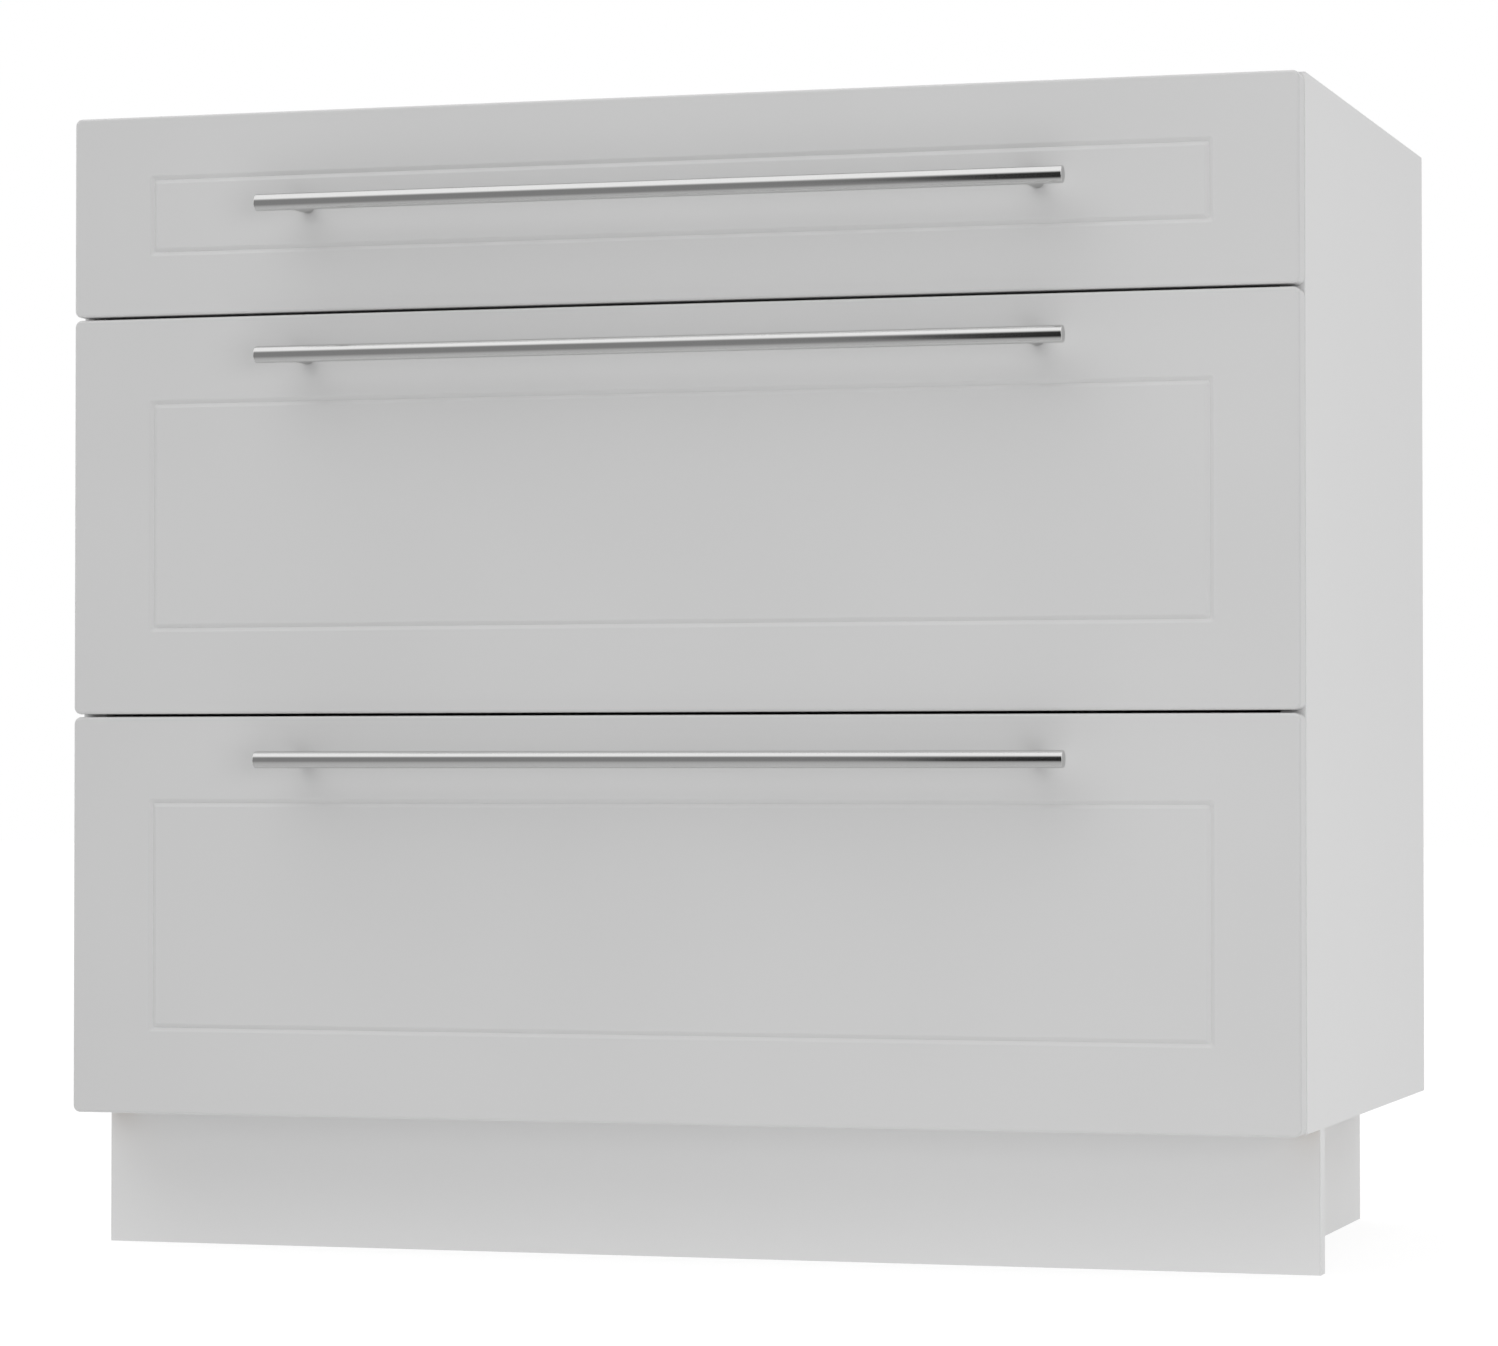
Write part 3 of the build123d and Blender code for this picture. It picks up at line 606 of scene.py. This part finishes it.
class CABINET_OT_bar_handles(bpy.types.Operator):
    """Turns the three bars and their posts"""
    bl_idname = "cabinet.bar_handles"
    bl_label = "Bar handles"

    def execute(self, context):
        sizes = context.scene.cabinet_handles
        tone = tuple(context.scene.cabinet_colours.bar_steel)
        bar_steel, post_steel = bar_finish(tone, "x"), bar_finish(tone, "y")
        for drawer in DRAWERS:
            add_piece(f"{drawer}_bar", f"{drawer}_drawer", bar_steel, f"{drawer}_handle_bar",
                      lambda bm: self.bar(bm, sizes, *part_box(f"{drawer}_handle_bar")))
            add_piece(f"{drawer}_posts", f"{drawer}_drawer", post_steel,
                      f"{drawer}_handle_posts",
                      lambda bm: self.posts(bm, sizes, *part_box(f"{drawer}_handle_posts")))
        return {"FINISHED"}

    @staticmethod
    def bar(bm, sizes, low, high):
        """A bar with rounded ends."""
        middle, radius = (low + high) / 2, (high.z - low.z) / 2
        start, reach, end = Vector((low.x, middle.y, middle.z)), high.x - low.x, sizes.end_radius
        near = [(end * (1 - cosine), radius - end * (1 - sine)) for sine, cosine in arc(sizes.end_steps)]
        far = [(reach - along, radius_there) for along, radius_there in reversed(near)]
        turn(bm, start, Vector((1, 0, 0)), near + far, sizes.round_steps)

    @staticmethod
    def posts(bm, sizes, low, high):
        """The two posts of a bar, each with a small chamfer at its foot."""
        radius, foot, z = (high.z - low.z) / 2, sizes.post_foot, (low.z + high.z) / 2
        outline = [(0, radius - foot), (foot, radius), (high.y - low.y, radius)]
        for x in (low.x + radius, high.x - radius):
            turn(bm, Vector((x, high.y, z)), Vector((0, -1, 0)), outline, sizes.round_steps)


class CABINET_OT_carcass_boards(bpy.types.Operator):
    """Finishes the carcass boards, the back and the plinth frame"""
    bl_idname = "cabinet.carcass_boards"
    bl_label = "Carcass boards"

    def execute(self, context):
        colours = context.scene.cabinet_colours
        face, core = tuple(colours.melamine), tuple(colours.chipboard)
        raw_and_banded_edges = {
            "left_side_panel": (("+z", "-z", "+y"), ("-y",)),
            "right_side_panel": (("+z", "-z", "+y"), ("-y",)),
            "bottom_panel": (("+y",), ("-y",)),
            "front_rail": (("+y",), ("-y",)),
            "rear_rail": (("+y", "-y"), ()),
            "plinth_front": (("-z",), ("+x", "-x")),
            "plinth_left_return": (("+y", "-z"), ()),
            "plinth_right_return": (("+y", "-z"), ()),
        }
        for node, (raw, banded) in raw_and_banded_edges.items():
            dress(node, board_finish(f"melamine_{node}", node, face, core, raw, banded))
        dress("back_panel", hardboard_finish("hardboard_back", face, tuple(colours.hardboard), "+y"))
        return {"FINISHED"}


class CABINET_OT_drawer_boxes(bpy.types.Operator):
    """Finishes the boards and the bottoms of the drawer boxes"""
    bl_idname = "cabinet.drawer_boxes"
    bl_label = "Drawer boxes"

    def execute(self, context):
        colours = context.scene.cabinet_colours
        face, core = tuple(colours.drawer_melamine), tuple(colours.chipboard)
        for drawer in DRAWERS:
            for board in BOX_BOARDS:
                node = f"{drawer}_box_{board}"
                raw = ("-z", "+y") if board.endswith("side") else ("-z",)
                dress(node, board_finish(f"melamine_{node}", node, face, core, raw, ("+z",)))
            dress(f"{drawer}_box_bottom",
                  hardboard_finish(f"hardboard_{drawer}_bottom", face, tuple(colours.hardboard), "-z"))
        return {"FINISHED"}


class CABINET_OT_runners(bpy.types.Operator):
    """Finishes the members of the runners and their ball cages"""
    bl_idname = "cabinet.runners"
    bl_label = "Runners"

    def execute(self, context):
        colours = context.scene.cabinet_colours
        plated = plated_finish("runner_zinc", tuple(colours.runner_zinc), 0.24)
        bright = plated_finish("ball_cage_steel", tuple(colours.bright_steel), 0.14, 400, 0.004 * MM)
        dress("runner_cabinet_members", plated)
        for drawer in DRAWERS:
            for member in ("drawer_members", "intermediate_members"):
                dress(f"{drawer}_runner_{member}", plated)
            for cage in ("outer_ball_cages", "inner_ball_cages"):
                dress(f"{drawer}_runner_{cage}", bright)
        return {"FINISHED"}


class CABINET_OT_fittings(bpy.types.Operator):
    """Finishes the screws, cam fittings, dowels and soft pads"""
    bl_idname = "cabinet.fittings"
    bl_label = "Fittings"

    def execute(self, context):
        colours = context.scene.cabinet_colours
        screw = plated_finish("screw_zinc", tuple(colours.bright_steel), 0.2, 700, 0.01 * MM)
        for node in frame["nodes"]:
            if node.endswith("screws"):
                dress(node, screw)
        dress("cam_bolts", screw)
        dress("cam_locks", cast_finish(tuple(colours.cast_zinc)))
        dress("wood_dowels", beech_finish(tuple(colours.beech)))
        dress("buffer_pads", buffer_finish(tuple(colours.buffer)))
        return {"FINISHED"}


# ---- studio ---------------------------------------------------------------------------------------------

FLOOR_REACH = 20
FLOOR_PAINT = grey(0.80)
FLOOR_IN_SHADOW = grey(0.20)
FLOOR_GLOW = 0.84
SENSOR_WIDTH_MM = 36.0
CAMERA_SIGHT = 60.0

# name, place, target and width of each lamp, and the setting that holds its power
LAMPS = (
    ("high_light", (-1.2, -2.2, 3.5), (0, -0.25, 0.4), 3.2, "high"),
    ("low_light", (1.5, -3.5, -1.5), (0, -0.2, 0.3), 2.5, "low"),
    ("near_light", (3.2, -4.2, 0.4), (0, -0.2, 0.3), 2.5, "near"),
)

# the cards, which glow and show only in polished metal as painted reflections: the wall stands behind the
# camera, and the ground card runs from its foot to the cabinet
WALL_Y, GROUND_END_Y = -4.0, -0.2
CARD_HALF_WIDTH, WALL_HEIGHT, GROUND_LIFT = 8.0, 6.0, 0.002
CARD_GREY, CARD_BLACK, CARD_WHITE = grey(0.245), grey(0.015), grey(1)
GROUND_LIT = grey(0.52)
LINE_LEAN, LINE_START, LINE_END = 0.262, 0.215, 0.275
WALL_BLACK_FADES, WALL_GREY_FADES = (1.6, 3.6), (1.75, 5.05)
GROUND_BLACK_FADES, GROUND_GREY_FADES = (-1.35, -0.5), (-1.3, -0.25)


def stage_sheet(name, corners, material):
    """A flat sheet that belongs to the studio."""
    bm = bmesh.new()
    bm.faces.new([bm.verts.new(corner) for corner in corners])
    sheet = mesh_object(name, bm, material)
    return sheet


def right_of_line(place):
    """1 to the right of a line that leads away from the cabinet, with a soft edge."""
    return (place["X"] - place["Y"] * LINE_LEAN).between(LINE_START, LINE_END)


def wall_card(f):
    """Painted reflection: grey that fades to white higher up, and black to the right of the line."""
    place = f.coordinates()
    black = right_of_line(place) * (1 - place["Z"].between(*WALL_BLACK_FADES))
    return f.mix(black, f.mix(place["Z"].between(*WALL_GREY_FADES), CARD_GREY, CARD_WHITE), CARD_BLACK)


def ground_card(f):
    """Painted reflection: grey that turns paler near the cabinet, and black to the right of the line."""
    place = f.coordinates()
    black = right_of_line(place) * (1 - place["Y"].between(*GROUND_BLACK_FADES))
    return f.mix(black, f.mix(place["Y"].between(*GROUND_GREY_FADES), CARD_GREY, GROUND_LIT), CARD_BLACK)


def reflected_card(name, corners, tone_of):
    """A glowing card that shows only in reflections, as a painted reflection in the metal."""
    f = Finish(name)
    glow = f.node("ShaderNodeEmission", None, {"Color": tone_of(f), "Strength": 1.0})[0]
    card = stage_sheet(name, corners, f.put_out(glow))
    card.visible_camera = card.visible_diffuse = card.visible_transmission = False
    card.visible_shadow = card.visible_volume_scatter = False


def soft_light(name, place, target, width, power):
    """A large square light that faces a target and isn't seen itself, nor in polished metal."""
    lamp = bpy.data.lights.new(name, "AREA")
    lamp.shape, lamp.size, lamp.energy = "SQUARE", width, power
    holder = bpy.data.objects.new(name, lamp)
    holder.location = place
    holder.rotation_euler = (Vector(target) - Vector(place)).to_track_quat("-Z", "Y").to_euler()
    holder.visible_camera = holder.visible_glossy = False
    bpy.context.scene.collection.objects.link(holder)


class CABINET_OT_studio(bpy.types.Operator):
    """Sets up the pale floor, the soft light, the reflected cards and the camera"""
    bl_idname = "cabinet.studio"
    bl_label = "Studio"

    def execute(self, context):
        studio = context.scene.cabinet_studio
        self.floor()
        self.backdrop(studio)
        self.cards()
        for name, place, target, width, power in LAMPS:
            soft_light(name, place, target, width, getattr(studio, power))
        self.camera(context, studio)
        context.scene.view_settings.view_transform = "Standard"
        return {"FINISHED"}

    def floor(self):
        """White to the eye but for the object's soft shadow, and clear from below and to the lamps."""
        f = Finish("floor")
        paint, shadow = (f.node("ShaderNodeBsdfDiffuse", None, {"Color": (*tone, 1)})[0]
                         for tone in (FLOOR_PAINT, FLOOR_IN_SHADOW))
        white = f.node("ShaderNodeEmission", None, {"Color": (*grey(1), 1), "Strength": FLOOR_GLOW})[0]
        bright = f.node("ShaderNodeAddShader", None, {0: shadow, 1: white})[0]
        shown = f.node("ShaderNodeMixShader", None, {0: f.seen(), 1: paint, 2: bright})[0]
        below = (f.node("ShaderNodeNewGeometry")["Backfacing"]
                 * f.node("ShaderNodeLightPath")["Is Camera Ray"])
        clear = f.node("ShaderNodeBsdfTransparent")[0]
        surface = f.put_out(f.node("ShaderNodeMixShader", None, {0: below, 1: shown, 2: clear})[0])
        corners = [(x * FLOOR_REACH, y * FLOOR_REACH, 0) for x, y in ((-1, -1), (1, -1), (1, 1), (-1, 1))]
        floor = stage_sheet("floor", corners, surface)
        floor.visible_diffuse = floor.visible_shadow = False

    def backdrop(self, studio):
        """Soft light from all round, with a strength for each side, that shows as white."""
        world = bpy.data.worlds.new("studio")
        world.use_nodes = True
        bpy.context.scene.world = world
        b = Bench(world.node_tree)
        seen = b.seen()
        way = b.node("ShaderNodeSeparateXYZ", None, {0: b.node("ShaderNodeTexCoord")["Generated"]})
        soft = (way["Z"].either(0) * studio.from_above + (way["Z"] * -1).either(0) * studio.from_below
                + (way["X"] * -1).either(0) * studio.from_left + way["Y"].either(0) * studio.from_behind)
        light = b.node("ShaderNodeBackground", None, {"Color": (*grey(1), 1),
                                                      "Strength": seen + (1 - seen) * soft})[0]
        b.node("ShaderNodeOutputWorld", None, {"Surface": light})

    def cards(self):
        """The two cards that paint reflections in polished metal."""
        left, right = -CARD_HALF_WIDTH, CARD_HALF_WIDTH
        reflected_card("card_wall", [(left, WALL_Y, 0), (right, WALL_Y, 0), (right, WALL_Y, WALL_HEIGHT),
                                     (left, WALL_Y, WALL_HEIGHT)], wall_card)
        reflected_card("card_ground", [(left, WALL_Y, GROUND_LIFT), (right, WALL_Y, GROUND_LIFT),
                                       (right, GROUND_END_Y, GROUND_LIFT),
                                       (left, GROUND_END_Y, GROUND_LIFT)], ground_card)

    def camera(self, context, studio):
        """A long lens, low on the right."""
        camera = bpy.data.cameras.new("camera")
        camera.lens, camera.sensor_width, camera.clip_end = studio.lens, SENSOR_WIDTH_MM, CAMERA_SIGHT
        holder = bpy.data.objects.new("camera", camera)
        holder.location = studio.camera_place
        holder.rotation_euler = (math.pi / 2 + studio.camera_pitch, 0, studio.camera_yaw)
        context.scene.collection.objects.link(holder)
        context.scene.camera = holder


# ---- the add-on -----------------------------------------------------------------------------------------


class CABINET_PT_panel(bpy.types.Panel):
    """Lists the cabinet's steps and sizes"""
    bl_idname = "CABINET_PT_panel"
    bl_label = "Cabinet"
    bl_space_type = "VIEW_3D"
    bl_region_type = "UI"
    bl_category = "Cabinet"

    def draw(self, context):
        for step in STEPS:
            self.layout.operator(step.bl_idname)
        for group in GROUPS:
            box = self.layout.box()
            settings = getattr(context.scene, group)
            for name in settings.__annotations__:
                box.prop(settings, name)


STEPS = (CABINET_OT_drawer_fronts, CABINET_OT_bar_handles, CABINET_OT_carcass_boards, CABINET_OT_drawer_boxes,
         CABINET_OT_runners, CABINET_OT_fittings, CABINET_OT_studio)
GROUPS = {"cabinet_fronts": FrontSizes, "cabinet_handles": HandleSizes, "cabinet_colours": Colours,
          "cabinet_studio": Studio}


def register():
    for cls in (*GROUPS.values(), *STEPS, CABINET_PT_panel):
        bpy.utils.register_class(cls)
    for name, group in GROUPS.items():
        setattr(bpy.types.Scene, name, PointerProperty(type=group))


def unregister():
    for name in GROUPS:
        delattr(bpy.types.Scene, name)
    for cls in reversed((*GROUPS.values(), *STEPS, CABINET_PT_panel)):
        bpy.utils.unregister_class(cls)


def main():
    register()
    bpy.ops.cabinet.drawer_fronts()
    bpy.ops.cabinet.bar_handles()
    bpy.ops.cabinet.carcass_boards()
    bpy.ops.cabinet.drawer_boxes()
    bpy.ops.cabinet.runners()
    bpy.ops.cabinet.fittings()
    bpy.ops.cabinet.studio()


if __name__ == "__main__":
    main()
